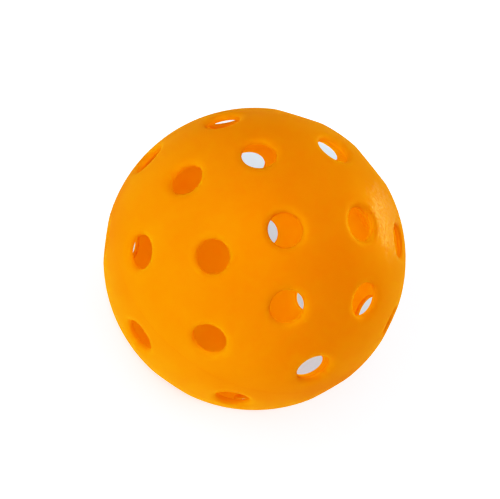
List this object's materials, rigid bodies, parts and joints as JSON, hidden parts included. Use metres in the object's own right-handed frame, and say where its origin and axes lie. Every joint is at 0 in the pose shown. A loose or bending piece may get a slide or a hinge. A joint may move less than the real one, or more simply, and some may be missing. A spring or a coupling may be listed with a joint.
{
  "type": "pickleball ball",
  "caption": "Hollow perforated plastic ball with rounded hole edges, made of two welded half shells.",
  "frame": {"origin": "centre of the ball", "axes": "+Z along the hole pattern's four-fold axis, through the middle of the four holes of the upper half's first ring; +X through one of those holes' azimuths; the weld lies in the plane z = 0"},
  "size_m": [0.074, 0.074, 0.074],
  "materials": {
    "upper_shell_plastic": "satin moulded polyethylene with a fine grain",
    "lower_shell_plastic": "satin moulded polyethylene with a fine grain",
    "weld_plastic": "polyethylene that melted and set again, trimmed flush outside"
  },
  "bodies": {
    "root": {"upper_half_shell": "upper_shell_plastic", "lower_half_shell": "lower_shell_plastic", "weld_seam": "weld_plastic"}
  },
  "joints": []
}
